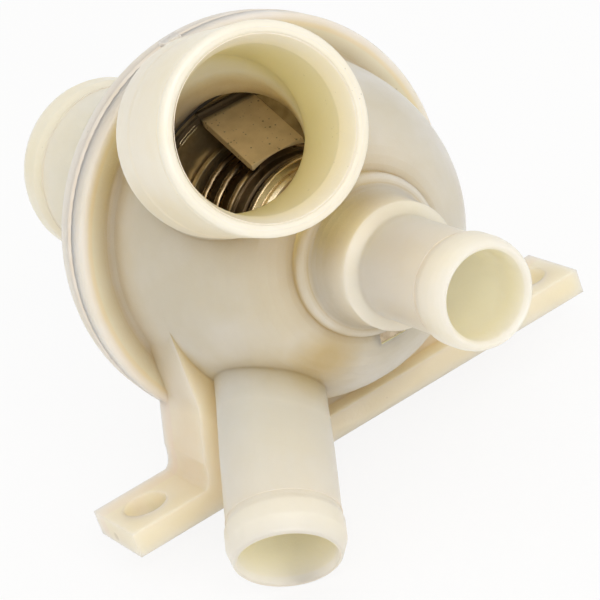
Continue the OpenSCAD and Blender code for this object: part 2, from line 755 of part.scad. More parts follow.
module bypass_disc() {
    r = stem_r + stem_gap;
    top = disc_reach + 1.5;
    color([0.76, 0.7, 0.52])
        turned([[r, disc_reach - 0.5], [11.6, disc_reach - 0.5], [12.2, disc_reach + 0.6], [13.6, disc_reach + 0.6],
            [14.2, disc_reach - 1.2], [disc_r, disc_reach - 1.2], [disc_r, disc_reach],
            [15.3, disc_reach], [15.1, disc_reach + 0.7], [14.5, disc_reach + 1.2], [13.8, top], [12.4, top],
            [11.4, disc_reach + 1.1], [11, disc_reach + 0.7], [5.2, disc_reach + 0.7], [4.6, disc_reach + 1.9],
            [r, disc_reach + 1.9]]);
}

module stem_clip() {
    color([0.35, 0.35, 0.36])
        axial()
            difference() {
                translate([0, 0, stem_end - 2.35])
                    cylinder(h = 0.8, r = stem_r + 1.9, $fn = 48);
                translate([0, 0, stem_end - 3])
                    cylinder(h = 2, r = stem_r - 0.55, $fn = 48);
                translate([-1.4, 0, stem_end - 3])
                    cube([2.8, 6, 2]);
            }
}

module stem_washer() {
    color([0.7, 0.7, 0.7])
        axial()
            difference() {
                translate([0, 0, stem_end - 3.1])
                    cylinder(h = 0.7, r = stem_r + 1.6, $fn = 48);
                translate([0, 0, stem_end - 4])
                    cylinder(h = 3, r = stem_r + 0.02, $fn = 48);
            }
}

// Loose pin that lets air past the plate.
module vent_pin() {
    color([0.8, 0.78, 0.72])
        axial()
            rotate([0, 0, vent_clock])
                translate([vent_radial, 0, -plate_front])
                    rotate_extrude($fn = 32)
                        polygon([[0, 0.9], [vent_r + 0.9, 0.7], [vent_r + 1.1, 0.35], [vent_r + 0.9, 0.05],
                            [vent_r, 0.05], [vent_r, -plate_t - 1.8], [vent_r + 0.9, -plate_t - 2.2],
                            [vent_r + 0.9, -plate_t - 3], [0, -plate_t - 3.6]]);
}

front_housing();
rear_cover();
joint_seal();
plate_gasket();
thermostat_plate();
rear_bridge();
piston();
cage();
spring_seat();
main_spring();
main_valve();
valve_lip();
wax_cup();
wax_charge();
rubber_sleeve();
guide_bush();
bypass_stem();
bypass_spring();
bypass_disc();
stem_clip();
stem_washer();
vent_pin();
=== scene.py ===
import json
import math

import bmesh
import bpy
from mathutils import Matrix, Vector, noise


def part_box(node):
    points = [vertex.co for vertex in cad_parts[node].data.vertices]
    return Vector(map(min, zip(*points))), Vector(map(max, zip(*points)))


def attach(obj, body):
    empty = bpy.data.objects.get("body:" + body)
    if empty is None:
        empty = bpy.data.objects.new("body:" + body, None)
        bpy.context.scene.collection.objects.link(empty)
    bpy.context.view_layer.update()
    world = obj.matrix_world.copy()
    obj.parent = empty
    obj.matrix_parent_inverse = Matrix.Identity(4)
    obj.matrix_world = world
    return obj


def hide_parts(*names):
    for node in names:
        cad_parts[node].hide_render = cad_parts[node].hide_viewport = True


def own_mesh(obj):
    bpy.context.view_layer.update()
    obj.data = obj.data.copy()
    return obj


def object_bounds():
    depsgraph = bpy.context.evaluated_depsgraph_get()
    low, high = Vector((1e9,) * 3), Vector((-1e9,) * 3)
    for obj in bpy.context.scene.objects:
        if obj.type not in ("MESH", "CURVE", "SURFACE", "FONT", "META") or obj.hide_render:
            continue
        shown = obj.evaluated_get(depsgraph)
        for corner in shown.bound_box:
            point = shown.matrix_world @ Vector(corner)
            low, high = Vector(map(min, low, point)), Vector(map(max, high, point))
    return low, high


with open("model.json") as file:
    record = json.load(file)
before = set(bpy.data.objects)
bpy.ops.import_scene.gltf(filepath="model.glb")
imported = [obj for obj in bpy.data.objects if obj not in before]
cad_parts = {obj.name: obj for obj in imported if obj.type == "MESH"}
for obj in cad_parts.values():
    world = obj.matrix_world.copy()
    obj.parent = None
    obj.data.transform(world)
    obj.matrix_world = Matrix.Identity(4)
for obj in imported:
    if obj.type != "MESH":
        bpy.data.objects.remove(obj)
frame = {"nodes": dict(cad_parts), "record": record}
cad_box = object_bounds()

# ---------------------------------------------------------------- camera
# A long lens, half a metre from the valve, looking down on its left front.
# The camera is rolled, so that the valve lies at a slant.

valve_axis_height = 0.0422
joint_face_y = 0.00475
camera_distance = 0.51054
camera_turn = math.radians(-23.83)
camera_rise = math.radians(22.83)
camera_roll = math.radians(-20.11)
across, above = -0.00586, 0.01543
lens_mm, film_mm, nearest_seen = 156, 36, 0.01

towards_camera = Vector((math.sin(camera_turn) * math.cos(camera_rise),
                         -math.cos(camera_turn) * math.cos(camera_rise),
                         math.sin(camera_rise)))
level_right = Vector((0, 0, 1)).cross(towards_camera).normalized()
level_up = towards_camera.cross(level_right)
right = math.cos(camera_roll) * level_right + math.sin(camera_roll) * level_up
up = -math.sin(camera_roll) * level_right + math.cos(camera_roll) * level_up
stand = Vector((0, joint_face_y, valve_axis_height)) + towards_camera * camera_distance
stand -= right * across + up * above

camera = bpy.data.objects.new("camera", bpy.data.cameras.new("camera"))
camera.data.lens = lens_mm
camera.data.sensor_width = film_mm
camera.data.clip_start = nearest_seen
camera.matrix_world = Matrix((
    (right.x, up.x, towards_camera.x, stand.x),
    (right.y, up.y, towards_camera.y, stand.y),
    (right.z, up.z, towards_camera.z, stand.z),
    (0, 0, 0, 1)))
bpy.context.scene.collection.objects.link(camera)
bpy.context.scene.camera = camera
bpy.context.scene.view_settings.view_transform = "Standard"

# ---------------------------------------------------------------- table and light
# A plain white table top under the lowest point of the valve, in an even pale room.
# A wide soft lamp stands in front at the left, and a faint one hangs above.

table_gap = 0.0004
table_half = 4.0
table_colour = (0.9, 0.9, 0.9, 1)
table_roughness, table_shine = 0.8, 0.2
table_share_shown_white = 0.86
room_colour = (1.0, 0.985, 0.965, 1)
room_strength, backdrop_strength = 0.81, 1.0
lamp_tint = (1.0, 0.985, 0.96)
lamp_aim = Vector((0, 0, 0.045))


def placed(name, mesh):
    """The finished mesh as an object, set down in the scene."""
    piece = bpy.data.objects.new(name, bpy.data.meshes.new(name))
    mesh.to_mesh(piece.data)
    mesh.free()
    bpy.context.scene.collection.objects.link(piece)
    return piece


def new_material(name):
    """A material with one shader joined to its output."""
    material = bpy.data.materials.new(name)
    material.use_nodes = True
    tree = material.node_tree
    tree.nodes.clear()
    out = tree.nodes.new("ShaderNodeOutputMaterial")
    shader = tree.nodes.new("ShaderNodeBsdfPrincipled")
    tree.links.new(shader.outputs[0], out.inputs["Surface"])
    return material, tree, shader


def worked_out(tree, operation, first, second):
    """One step of arithmetic on two values; each is a socket or a written number."""
    node = tree.nodes.new("ShaderNodeMath")
    node.operation = operation
    for socket, value in zip(node.inputs, (first, second)):
        if isinstance(value, float):
            socket.default_value = value
        else:
            tree.links.new(value, socket)
    return node.outputs[0]


def seen_directly(tree):
    """1 for rays from the camera, and for those that a mirror or a clear piece sends on."""
    path = tree.nodes.new("ShaderNodeLightPath")
    seen = path.outputs["Is Camera Ray"]
    for kind in ("Is Glossy Ray", "Is Transmission Ray"):
        seen = worked_out(tree, "MAXIMUM", seen, path.outputs[kind])
    return seen


def shown_as(tree, share, plain, white, out):
    """The plain shader, with a share of white in its place."""
    mix = tree.nodes.new("ShaderNodeMixShader")
    tree.links.new(share, mix.inputs[0])
    tree.links.new(plain.outputs[0], mix.inputs[1])
    tree.links.new(white.outputs[0], mix.inputs[2])
    tree.links.new(mix.outputs[0], out.inputs["Surface"])


table_mesh = bmesh.new()
bmesh.ops.create_grid(table_mesh, x_segments=1, y_segments=1, size=table_half)
bmesh.ops.translate(table_mesh, verts=table_mesh.verts, vec=(0, 0, cad_box[0][2] - table_gap))
table = placed("table_top", table_mesh)
table_paint, tree, matt = new_material("white table")
matt.inputs["Base Color"].default_value = table_colour
matt.inputs["Roughness"].default_value = table_roughness
matt.inputs["Specular IOR Level"].default_value = table_shine
glow = tree.nodes.new("ShaderNodeEmission")
share = worked_out(tree, "MULTIPLY", seen_directly(tree), table_share_shown_white)
shown_as(tree, share, matt, glow, tree.nodes["Material Output"])
table.data.materials.append(table_paint)

room = bpy.data.worlds.new("room")
room.use_nodes = True
tree = room.node_tree
tree.nodes.clear()
out = tree.nodes.new("ShaderNodeOutputWorld")
walls = tree.nodes.new("ShaderNodeBackground")
walls.inputs["Color"].default_value = room_colour
walls.inputs["Strength"].default_value = room_strength
white = tree.nodes.new("ShaderNodeBackground")
white.inputs["Strength"].default_value = backdrop_strength
shown_as(tree, seen_directly(tree), walls, white, out)
bpy.context.scene.world = room


def soft_lamp(name, place, size, power):
    """A square soft lamp that looks at the valve."""
    data = bpy.data.lights.new(name, "AREA")
    data.shape = "SQUARE"
    data.size = size
    data.energy = power
    data.color = lamp_tint
    lamp = bpy.data.objects.new(name, data)
    bpy.context.scene.collection.objects.link(lamp)
    lamp.location = place
    lamp.rotation_euler = (lamp_aim - Vector(place)).to_track_quat("-Z", "Y").to_euler()


soft_lamp("lamp_above_left", place=(-0.4, 0.2, 1.35), size=1.1, power=0.5)
soft_lamp("lamp_front", place=(-0.25, -1.3, 0.68), size=0.9, power=10)

# ---------------------------------------------------------------- moulded housing
# Both halves are injection moulded in natural, unfilled nylon: cream and slightly see-through.
# The colour carries painted light and shade: the body and the bar are painted darker than the
# ports, and corners, the bores and a spot under the dome are painted in ochre shade and glow.

# Painted light and shade: the thin ports are painted lighter, the bar and the thick body darker.
port_lit_pale, port_lit_warm = (0.905, 0.785, 0.61, 1), (0.89, 0.755, 0.55, 1)
bar_shaded_pale, bar_shaded_warm = (0.81, 0.70, 0.535, 1), (0.77, 0.655, 0.475, 1)
body_shaded_pale, body_shaded_warm = (0.68, 0.62, 0.525, 1), (0.615, 0.545, 0.42, 1)
# Painted glow and shade: light ochre for the hollows and the bore, dark ochre for corners and under
# the dome.
hollow_painted_glow, ochre_painted_shade = (0.98, 0.80, 0.42, 1), (0.46, 0.32, 0.11, 1)
nylon_speck = (0.30, 0.22, 0.13, 1)
nylon_ior = 1.53
nylon_roughness, nylon_scatter = (0.30, 0.42), 0.014

body_half_size = Vector((0.038, 0.048, 0.040))
body_to_ports = (0.93, 1.08)
bar_begins_y, bar_begins_z = (-0.016, -0.010), (0.036, 0.014)
corner_shade, corner_share_on_bar = (0.92, 0.35), 0.2
bore_shade, bore_share_on_bar = (0.5, 0.15), 0.15
shade_distance = 0.03

band_scale, band_fade = 20, 0.001
# Painted light and shade in rings on the flange: tan shade at the dome's foot, grey-green and
# orange rings between, lilac light on the rim.
flange_painted_rings = ((0.0345, (1.0, 1.0, 1.0, 1)), (0.0350, (0.93, 0.87, 0.76, 1)),
                (0.0358, (0.94, 0.89, 0.79, 1)), (0.0363, (0.965, 0.98, 0.95, 1)),
                (0.0385, (0.97, 0.98, 0.95, 1)), (0.0389, (1.0, 0.91, 0.79, 1)),
                (0.0393, (1.0, 0.92, 0.81, 1)), (0.0398, (0.99, 0.95, 1.0, 1)))

# Painted glow: the large port's bore is painted a light ochre.
bore_painted_glow = (1.0, 0.82, 0.54, 1)
bore_reach, bore_ends = (0.0176, 0.0173), ((0.0095, 0.0050), (-0.026, -0.019))
# Painted shade: a spot under the dome is painted dark ochre.
under_dome, under_dome_reach, under_dome_share = (-0.0140, -0.0295, 0.0268), (0.008, 0.002), 0.65
end_gate, end_gate_reach, end_gate_share = (-0.055, 0.0011, 0.0017), (0.0011, 0.0006), 0.35
lip_dust, lip_dust_reach, lip_dust_share = (-0.0060, -0.0562, 0.0765), (0.015, 0.006), 0.5
patch_contrast, speck_edge, speck_strength = (0.36, 0.64), 1.5, 0.4
patch_swell = 3.0

mounts = {mount["name"]: mount for mount in frame["record"]["mounts"]}


def clouding_group():
    """Soft patches and a fine skin: gives a patch mask, a height and a mask of rare specks."""
    group = bpy.data.node_groups.new("clouding", "ShaderNodeTree")
    group.interface.new_socket("Place", in_out="INPUT", socket_type="NodeSocketVector")
    for name in ("Patch Scale", "Skin Scale", "Speck Scale", "Speck Size", "Speck Share"):
        group.interface.new_socket(name, in_out="INPUT", socket_type="NodeSocketFloat")
    for name in ("Patch", "Height", "Speck"):
        group.interface.new_socket(name, in_out="OUTPUT", socket_type="NodeSocketFloat")
    nodes, links = group.nodes, group.links
    ins = nodes.new("NodeGroupInput")
    outs = nodes.new("NodeGroupOutput")

    def texture(kind, scale, detail=None, roughness=None):
        """A pattern laid in the group's place, at one of the group's scales."""
        node = nodes.new(kind)
        links.new(ins.outputs["Place"], node.inputs["Vector"])
        links.new(ins.outputs[scale], node.inputs["Scale"])
        for name, value in (("Detail", detail), ("Roughness", roughness)):
            if value is not None:
                node.inputs[name].default_value = value
        return node

    patch = texture("ShaderNodeTexNoise", "Patch Scale", detail=3)
    links.new(map_range(group, patch.outputs["Fac"], *patch_contrast), outs.inputs["Patch"])
    skin = texture("ShaderNodeTexNoise", "Skin Scale", detail=4, roughness=0.6)
    links.new(skin.outputs["Fac"], outs.inputs["Height"])
    grains = texture("ShaderNodeTexVoronoi", "Speck Scale")
    drawn = nodes.new("ShaderNodeSeparateColor")
    links.new(grains.outputs["Color"], drawn.inputs["Color"])
    own_size = worked_out(group, "MULTIPLY", drawn.outputs[1], ins.outputs["Speck Size"])
    near = map_range(group, grains.outputs["Distance"], own_size, 0, 0, speck_edge)
    few = worked_out(group, "LESS_THAN", drawn.outputs[0], ins.outputs["Speck Share"])
    links.new(worked_out(group, "MULTIPLY", near, few), outs.inputs["Speck"])
    return group


def mix_colour(tree, mask, low, high, blend="MIX"):
    """Two colours mixed by a mask; each is a socket or a written colour."""
    node = tree.nodes.new("ShaderNodeMix")
    node.data_type, node.blend_type = "RGBA", blend
    tree.links.new(mask, node.inputs["Factor"])
    ends = [socket for socket in node.inputs if socket.type == "RGBA"]
    for socket, value in zip(ends, (low, high)):
        if isinstance(value, tuple):
            socket.default_value = value
        else:
            tree.links.new(value, socket)
    return [socket for socket in node.outputs if socket.type == "RGBA"][0]


def map_range(tree, value, low, high, to_low=0.0, to_high=1.0):
    """The value stretched from one range to another, and held at its ends."""
    node = tree.nodes.new("ShaderNodeMapRange")
    for name, number in (("Value", value), ("From Min", low), ("From Max", high),
                         ("To Min", to_low), ("To Max", to_high)):
        if isinstance(number, (int, float)):
            node.inputs[name].default_value = number
        else:
            tree.links.new(number, node.inputs[name])
    return node.outputs["Result"]


clouding = clouding_group()


def own_place(tree):
    """The piece's own coordinates."""
    return tree.nodes.new("ShaderNodeTexCoord").outputs["Object"]


def own_directions(tree):
    """The piece's own coordinates, one socket for each of X, Y and Z."""
    parts = tree.nodes.new("ShaderNodeSeparateXYZ")
    tree.links.new(own_place(tree), parts.inputs["Vector"])
    return parts.outputs


def clouded(tree, patches, skin, specks, speck_size, speck_share=0.12):
    """The clouding group set down in a material, with the scales of its three patterns."""
    node = tree.nodes.new("ShaderNodeGroup")
    node.node_tree = clouding
    tree.links.new(own_place(tree), node.inputs["Place"])
    for name, value in (("Patch Scale", patches), ("Skin Scale", skin), ("Speck Scale", specks),
                        ("Speck Size", speck_size), ("Speck Share", speck_share)):
        node.inputs[name].default_value = value
    return node


def bumped(tree, height, shader, depth, strength=1.0, rounding=0.0):
    """Height as a bump on the shader, over edges rounded by that radius."""
    bump = tree.nodes.new("ShaderNodeBump")
    bump.inputs["Strength"].default_value = strength
    bump.inputs["Distance"].default_value = depth
    tree.links.new(height, bump.inputs["Height"])
    if rounding:
        edge = tree.nodes.new("ShaderNodeBevel")
        edge.samples = 6
        edge.inputs["Radius"].default_value = rounding
        tree.links.new(edge.outputs["Normal"], bump.inputs["Normal"])
    tree.links.new(bump.outputs["Normal"], shader.inputs["Normal"])


def axis_reach(tree, scale, middle):
    """How far a point lies from a middle, with each direction stretched by its own scale."""
    shift = tree.nodes.new("ShaderNodeMapping")
    shift.inputs["Scale"].default_value = scale
    shift.inputs["Location"].default_value = [-m * s for m, s in zip(middle, scale)]
    tree.links.new(own_place(tree), shift.inputs["Vector"])
    reach = tree.nodes.new("ShaderNodeVectorMath")
    reach.operation = "LENGTH"
    tree.links.new(shift.outputs["Vector"], reach.inputs[0])
    return reach.outputs["Value"]


def near_spot(tree, spot, reach, share):
    """A mask that grows to a share from the outer reach of a spot to the inner one."""
    return map_range(tree, axis_reach(tree, (1, 1, 1), spot), *reach, 0, share)


def inside_port(tree, mount):
    """1 in the large port's bore: near its axis, between the mouth and the chamber."""
    steps = {}
    for operation in ("SUBTRACT", "CROSS_PRODUCT", "LENGTH", "DOT_PRODUCT"):
        steps[operation] = tree.nodes.new("ShaderNodeVectorMath")
        steps[operation].operation = operation
    shift, across, reach, along = steps.values()
    tree.links.new(own_place(tree), shift.inputs[0])
    shift.inputs[1].default_value = mount["pos_m"]
    for step in (across, along):
        tree.links.new(shift.outputs["Vector"], step.inputs[0])
        step.inputs[1].default_value = mount["axis"]
    tree.links.new(across.outputs["Vector"], reach.inputs[0])
    mask = map_range(tree, reach.outputs["Value"], *bore_reach)
    for end in bore_ends:
        mask = worked_out(tree, "MULTIPLY", mask, map_range(tree, along.outputs["Value"], *end))
    return mask


def with_painted_rings(tree, colour):
    """Rings of tint on the flange by radius: painted light and shade, with a tan ring of painted
    shade at the dome's foot and a lilac tint of painted light on the rim.
    """
    ramp = tree.nodes.new("ShaderNodeValToRGB")
    stops = ramp.color_ramp.elements
    while len(stops) < len(flange_painted_rings):
        stops.new(0.5)
    for stop, (radius, tint) in zip(stops, flange_painted_rings):
        stop.position, stop.color = radius * band_scale, tint
    reach = axis_reach(tree, (band_scale, 0, band_scale), (0, 0, valve_axis_height))
    tree.links.new(reach, ramp.inputs["Fac"])
    on_flange = map_range(tree, own_directions(tree)["Y"], joint_face_y - band_fade, joint_face_y)
    return mix_colour(tree, on_flange, colour, ramp.outputs["Color"], "MULTIPLY")


def nylon(name, rounding):
    """Natural nylon: clouded cream, with painted shade and a painted ochre glow where the moulding
    hides itself.
    """
    material, tree, shader = new_material(name)
    cloud = clouded(tree, patches=55, skin=1400, specks=420, speck_size=0.16, speck_share=0.05)
    patch = cloud.outputs["Patch"]
    # Painted shade: the body round the middle and the bar take the darker colours, the ports the
    # lighter ones.
    outward = axis_reach(tree, [1 / half for half in body_half_size],
                         (0, joint_face_y, valve_axis_height))
    outward = map_range(tree, outward, *body_to_ports)
    place = own_directions(tree)
    on_bar = worked_out(tree, "MULTIPLY", map_range(tree, place["Y"], *bar_begins_y),
                        map_range(tree, place["Z"], *bar_begins_z))
    outer = mix_colour(tree, on_bar, mix_colour(tree, patch, port_lit_pale, port_lit_warm),
                       mix_colour(tree, patch, bar_shaded_pale, bar_shaded_warm))
    body = mix_colour(tree, patch, body_shaded_pale, body_shaded_warm)
    cream = with_painted_rings(tree, mix_colour(tree, outward, body, outer))

    hidden = tree.nodes.new("ShaderNodeAmbientOcclusion")
    hidden.samples = 8
    hidden.only_local = True
    hidden.inputs["Distance"].default_value = shade_distance

    def in_shade(shade, share_on_bar):
        """A mask of hidden places for painted shade, weaker on the bar."""
        return worked_out(tree, "MULTIPLY", map_range(tree, hidden.outputs["AO"], *shade),
                          map_range(tree, on_bar, 0, 1, 1, share_on_bar))

    # Painted shade: hidden corners of the body turn dark ochre.
    toned = mix_colour(tree, in_shade(corner_shade, corner_share_on_bar), cream,
                       mix_colour(tree, outward, ochre_painted_shade, cream))
    # Painted glow: the large bore and the hollows turn light ochre, standing in for light through
    # the walls.
    toned = mix_colour(tree, inside_port(tree, mounts["large_spigot"]), toned, bore_painted_glow)
    toned = mix_colour(tree, in_shade(bore_shade, bore_share_on_bar), toned, hollow_painted_glow)
    # Painted shade: the dark ochre spot under the dome.
    under_dome_painted_shade = near_spot(tree, under_dome, under_dome_reach, under_dome_share)
    toned = mix_colour(tree, under_dome_painted_shade, toned, ochre_painted_shade)
    gate_mark = near_spot(tree, end_gate, end_gate_reach, end_gate_share)
    toned = mix_colour(tree, gate_mark, toned, nylon_speck)
    specks = map_range(tree, cloud.outputs["Speck"], 0, 1, 0, speck_strength)
    toned = mix_colour(tree, specks, toned, nylon_speck)
    dust = clouded(tree, patches=55, skin=1400, specks=1500, speck_size=0.3, speck_share=0.16)
    dust_on_lip = worked_out(tree, "MULTIPLY", dust.outputs["Speck"],
                             near_spot(tree, lip_dust, lip_dust_reach, lip_dust_share))
    toned = mix_colour(tree, dust_on_lip, toned, nylon_speck)

    tree.links.new(toned, shader.inputs["Base Color"])
    tree.links.new(map_range(tree, patch, 0, 1, *nylon_roughness), shader.inputs["Roughness"])
    shader.inputs["IOR"].default_value = nylon_ior
    shader.inputs["Coat Weight"].default_value = 0.2
    shader.inputs["Coat Roughness"].default_value = 0.16
    shader.inputs["Subsurface Weight"].default_value = 1.0
    shader.inputs["Subsurface Radius"].default_value = (1.0, 0.94, 0.82)
    shader.inputs["Subsurface Scale"].default_value = nylon_scatter
    uneven = tree.nodes.new("ShaderNodeMath")
    uneven.operation = "MULTIPLY_ADD"
    uneven.inputs[1].default_value = patch_swell
    tree.links.new(patch, uneven.inputs[0])
    tree.links.new(cloud.outputs["Height"], uneven.inputs[2])
    bumped(tree, uneven.outputs[0], shader, depth=0.00006, strength=0.8, rounding=rounding)
    return material


def dress(node, material):
    """Gives a solid of the frame its finish."""
    mesh = frame["nodes"][node].data
    mesh.materials.clear()
    mesh.materials.append(material)


housing_nylon = nylon("natural nylon", rounding=0.0009)
dress("front_housing", housing_nylon)
dress("rear_cover", housing_nylon)

# ---------------------------------------------------------------- weld flash
# A film of nylon squeezed out all round the rim where the two halves were welded together.
# It lies on the rim as a low, rounded strip.

thin_light, thin_warm = (0.87, 0.78, 0.67, 1), (0.83, 0.72, 0.58, 1)
flash_thick, flash_width, flash_stands_out = 0.00012, 0.00095, 0.00002
flash_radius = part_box("rear_cover")[1][0] + flash_stands_out
flash_y = (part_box("front_housing")[1][1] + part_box("rear_cover")[0][1]) / 2
valve_axis = Vector((0, 1, 0))
same_point = 1e-7


def in_one_order(mesh):
    """Sorts edges and faces by their points, because spin lists them differently each run."""
    mesh.verts.index_update()
    count = len(mesh.verts)

    def by_points(piece):
        points = [point.index for point in piece.verts]
        return min(points) * count + max(points)

    mesh.edges.sort(key=by_points)
    mesh.faces.sort(key=by_points)


def fine_ring(name, centre, axis, radius, thick, sides=8, steps=144, width=None):
    """A thin bead laid in a circle about an axis; width is its half width along the axis."""
    outwards = axis.orthogonal().normalized()
    side = outwards.cross(axis)
    turn = Matrix((outwards, axis * (width or thick) / thick, side)).transposed().to_4x4()
    ring = bmesh.new()
    bmesh.ops.create_circle(ring, segments=sides, radius=thick,
                            matrix=Matrix.Translation(centre + outwards * radius) @ turn)
    bmesh.ops.spin(ring, geom=ring.verts[:] + ring.edges[:], cent=centre, axis=axis, dvec=(0, 0, 0),
                   angle=2 * math.pi, steps=steps, use_merge=True, use_duplicate=False)
    bmesh.ops.remove_doubles(ring, verts=ring.verts, dist=same_point)
    bmesh.ops.recalc_face_normals(ring, faces=ring.faces)
    in_one_order(ring)
    for face in ring.faces:
        face.smooth = True
    return placed(name, ring)


weld_flash = fine_ring("weld_flash", Vector((0, flash_y, valve_axis_height)), valve_axis,
                       flash_radius, flash_thick, sides=12, steps=200, width=flash_width)
thin_nylon, tree, shader = new_material("thin nylon")
cloud = clouded(tree, patches=300, skin=1400, specks=900, speck_size=0.1, speck_share=0.02)
tree.links.new(mix_colour(tree, cloud.outputs["Patch"], thin_light, thin_warm),
               shader.inputs["Base Color"])
shader.inputs["Roughness"].default_value = 0.4
shader.inputs["IOR"].default_value = nylon_ior
bumped(tree, cloud.outputs["Height"], shader, depth=0.00001)
weld_flash.data.materials.append(thin_nylon)
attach(weld_flash, "housing")

# ---------------------------------------------------------------- tool lines
# The steel mould was turned on a lathe, so the mouths of the large and the lower port show one
# or two fine rings, and a faint line marks where each bead's insert met the tube.

line_thick, line_sunk, line_sides, line_steps = 0.00007, 0.00003, 6, 96
mouth_lines = {"large_spigot": (0.0123, (0.0172, 0.0161)), "lower_spigot_bead": (0.0050, (0.0095,))}
bead_lines = {"lower_spigot_bead": (-0.0036, 0.01085), "bypass_spigot_bead": (-0.0037, 0.00965),
              "outlet_spigot_bead": (-0.0048, 0.01865)}


def line_on(name, mount, along, radius):
    """A fine ring round a mount's axis, that far along it."""
    axis = Vector(mounts[mount]["axis"]).normalized()
    return fine_ring(name, Vector(mounts[mount]["pos_m"]) + axis * along, axis,
                     radius, line_thick, line_sides, line_steps)


lines = [line_on(f"{mount}_face_line_{number}", mount, to_mouth - line_sunk, radius)
         for mount, (to_mouth, radii) in mouth_lines.items()
         for number, radius in enumerate(radii, 1)]
lines += [line_on(f"{mount}_foot_line", mount, along, radius)
          for mount, (along, radius) in bead_lines.items()]
for line in lines:
    line.data.materials.append(thin_nylon)
    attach(line, "housing")

# ---------------------------------------------------------------- gate stub
# The moulding was filled through a flat gate under the boss. The gate was broken off, and its
# torn stub nearly fills the shallow recess.

stub_half_width, stub_back_y, stub_front_y = 0.00274, -0.0273, -0.0303
stub_low_z, stub_high_z, stub_lean, tear_depth = 0.02426, 0.02714, 0.00045, 0.0004
stub_cuts, on_front = 9, 1e-5
tear_scale, streak_scale, streak_share = 900, Vector((400, 400, 2600)), 0.6
torn_light, torn_dark = (0.66, 0.56, 0.42, 1), (0.50, 0.40, 0.27, 1)

stub_mesh = bmesh.new()
bmesh.ops.create_cube(stub_mesh, size=1)
bmesh.ops.subdivide_edges(stub_mesh, edges=stub_mesh.edges[:], cuts=stub_cuts, use_grid_fill=True)
stub_size = Vector((2 * stub_half_width, stub_back_y - stub_front_y, stub_high_z - stub_low_z))
bmesh.ops.scale(stub_mesh, vec=stub_size, verts=stub_mesh.verts)
bmesh.ops.translate(stub_mesh, verts=stub_mesh.verts,
                    vec=(0, (stub_back_y + stub_front_y) / 2, (stub_low_z + stub_high_z) / 2))
for point in stub_mesh.verts:
    if point.co.y < stub_front_y + on_front:
        height = (point.co.z - stub_low_z) / stub_size.z
        tear = noise.noise(point.co * tear_scale)
        tear += streak_share * noise.noise(point.co * streak_scale)
        point.co.y += tear_depth * tear - stub_lean * height
gate_stub = placed("gate_stub", stub_mesh)

torn_nylon, tree, shader = new_material("torn nylon")
cloud = clouded(tree, patches=700, skin=2600, specks=2200, speck_size=0.5, speck_share=0.2)
torn = mix_colour(tree, cloud.outputs["Patch"], torn_light, torn_dark)
tree.links.new(mix_colour(tree, cloud.outputs["Speck"], torn, nylon_speck),
               shader.inputs["Base Color"])
shader.inputs["Roughness"].default_value = 0.6
shader.inputs["IOR"].default_value = nylon_ior
bumped(tree, cloud.outputs["Height"], shader, depth=0.0001)
gate_stub.data.materials.append(torn_nylon)
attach(gate_stub, "housing")

# ---------------------------------------------------------------- ejector marks
# Eight ejector pins pushed the rear half out of its mould and left shallow round
# witness marks on the back of the flange.

mark_count, mark_radius, mark_circle, mark_thick = 8, 0.0016, 0.0383, 0.00006
first_mark, flange_back_y = 22.5, 0.0146
for number in range(mark_count):
    angle = math.radians(first_mark + 360 / mark_count * number)
    centre = Vector((mark_circle * math.cos(angle), flange_back_y,
                     valve_axis_height + mark_circle * math.sin(angle)))
    mark = fine_ring(f"ejector_mark_{number + 1}", centre, valve_axis, mark_radius, mark_thick,
                     sides=6, steps=32)
    mark.data.materials.append(thin_nylon)
    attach(mark, "housing")

# ---------------------------------------------------------------- thermostat plate and bridge
# Pressed from thin brass sheet that has gone dull: the plate with its rolled seat, the strap
# over it, the valve's disc and the loose vent pin. Dark specks from years in coolant.


def dull_metal(name, light, dark, speck, roughness, speck_size=0.22, speck_share=0.12,
               skin=0.00002, metal=1.0, shade_towards_plate=None):
    """Tarnished sheet or wire: patches, specks, a fine skin, and painted shade towards the plate.
    """
    material, tree, shader = new_material(name)
    cloud = clouded(tree, patches=260, skin=2600, specks=1500, speck_size=speck_size,
                    speck_share=speck_share)
    patches = mix_colour(tree, cloud.outputs["Patch"], light, dark)
    if shade_towards_plate:
        colour, start, full = shade_towards_plate
        shaded_part = map_range(tree, own_directions(tree)["Y"], start, full)
        patches = mix_colour(tree, shaded_part, patches, colour)
    specks = map_range(tree, cloud.outputs["Speck"], 0, 1, 0, 0.8)
    tree.links.new(mix_colour(tree, specks, patches, speck), shader.inputs["Base Color"])
    shader.inputs["Metallic"].default_value = metal
    tree.links.new(map_range(tree, cloud.outputs["Patch"], 0, 1, *roughness),
                   shader.inputs["Roughness"])
    bumped(tree, cloud.outputs["Height"], shader, skin, strength=0.5, rounding=0.00025)
    return material


sheet_brass = dull_metal("dull sheet brass", light=(0.50, 0.41, 0.25, 1),
                         dark=(0.30, 0.235, 0.135, 1), speck=(0.07, 0.05, 0.03, 1),
                         roughness=(0.28, 0.42))
for node in ("thermostat_plate", "rear_bridge", "main_valve", "vent_pin"):
    dress(node, sheet_brass)

# ---------------------------------------------------------------- cage
# One strip stamping: a foot ring on the plate and two legs that lean in to the spring seat.
# The strip was rolled, so it is matt and finely pitted, and lighter than the plate.

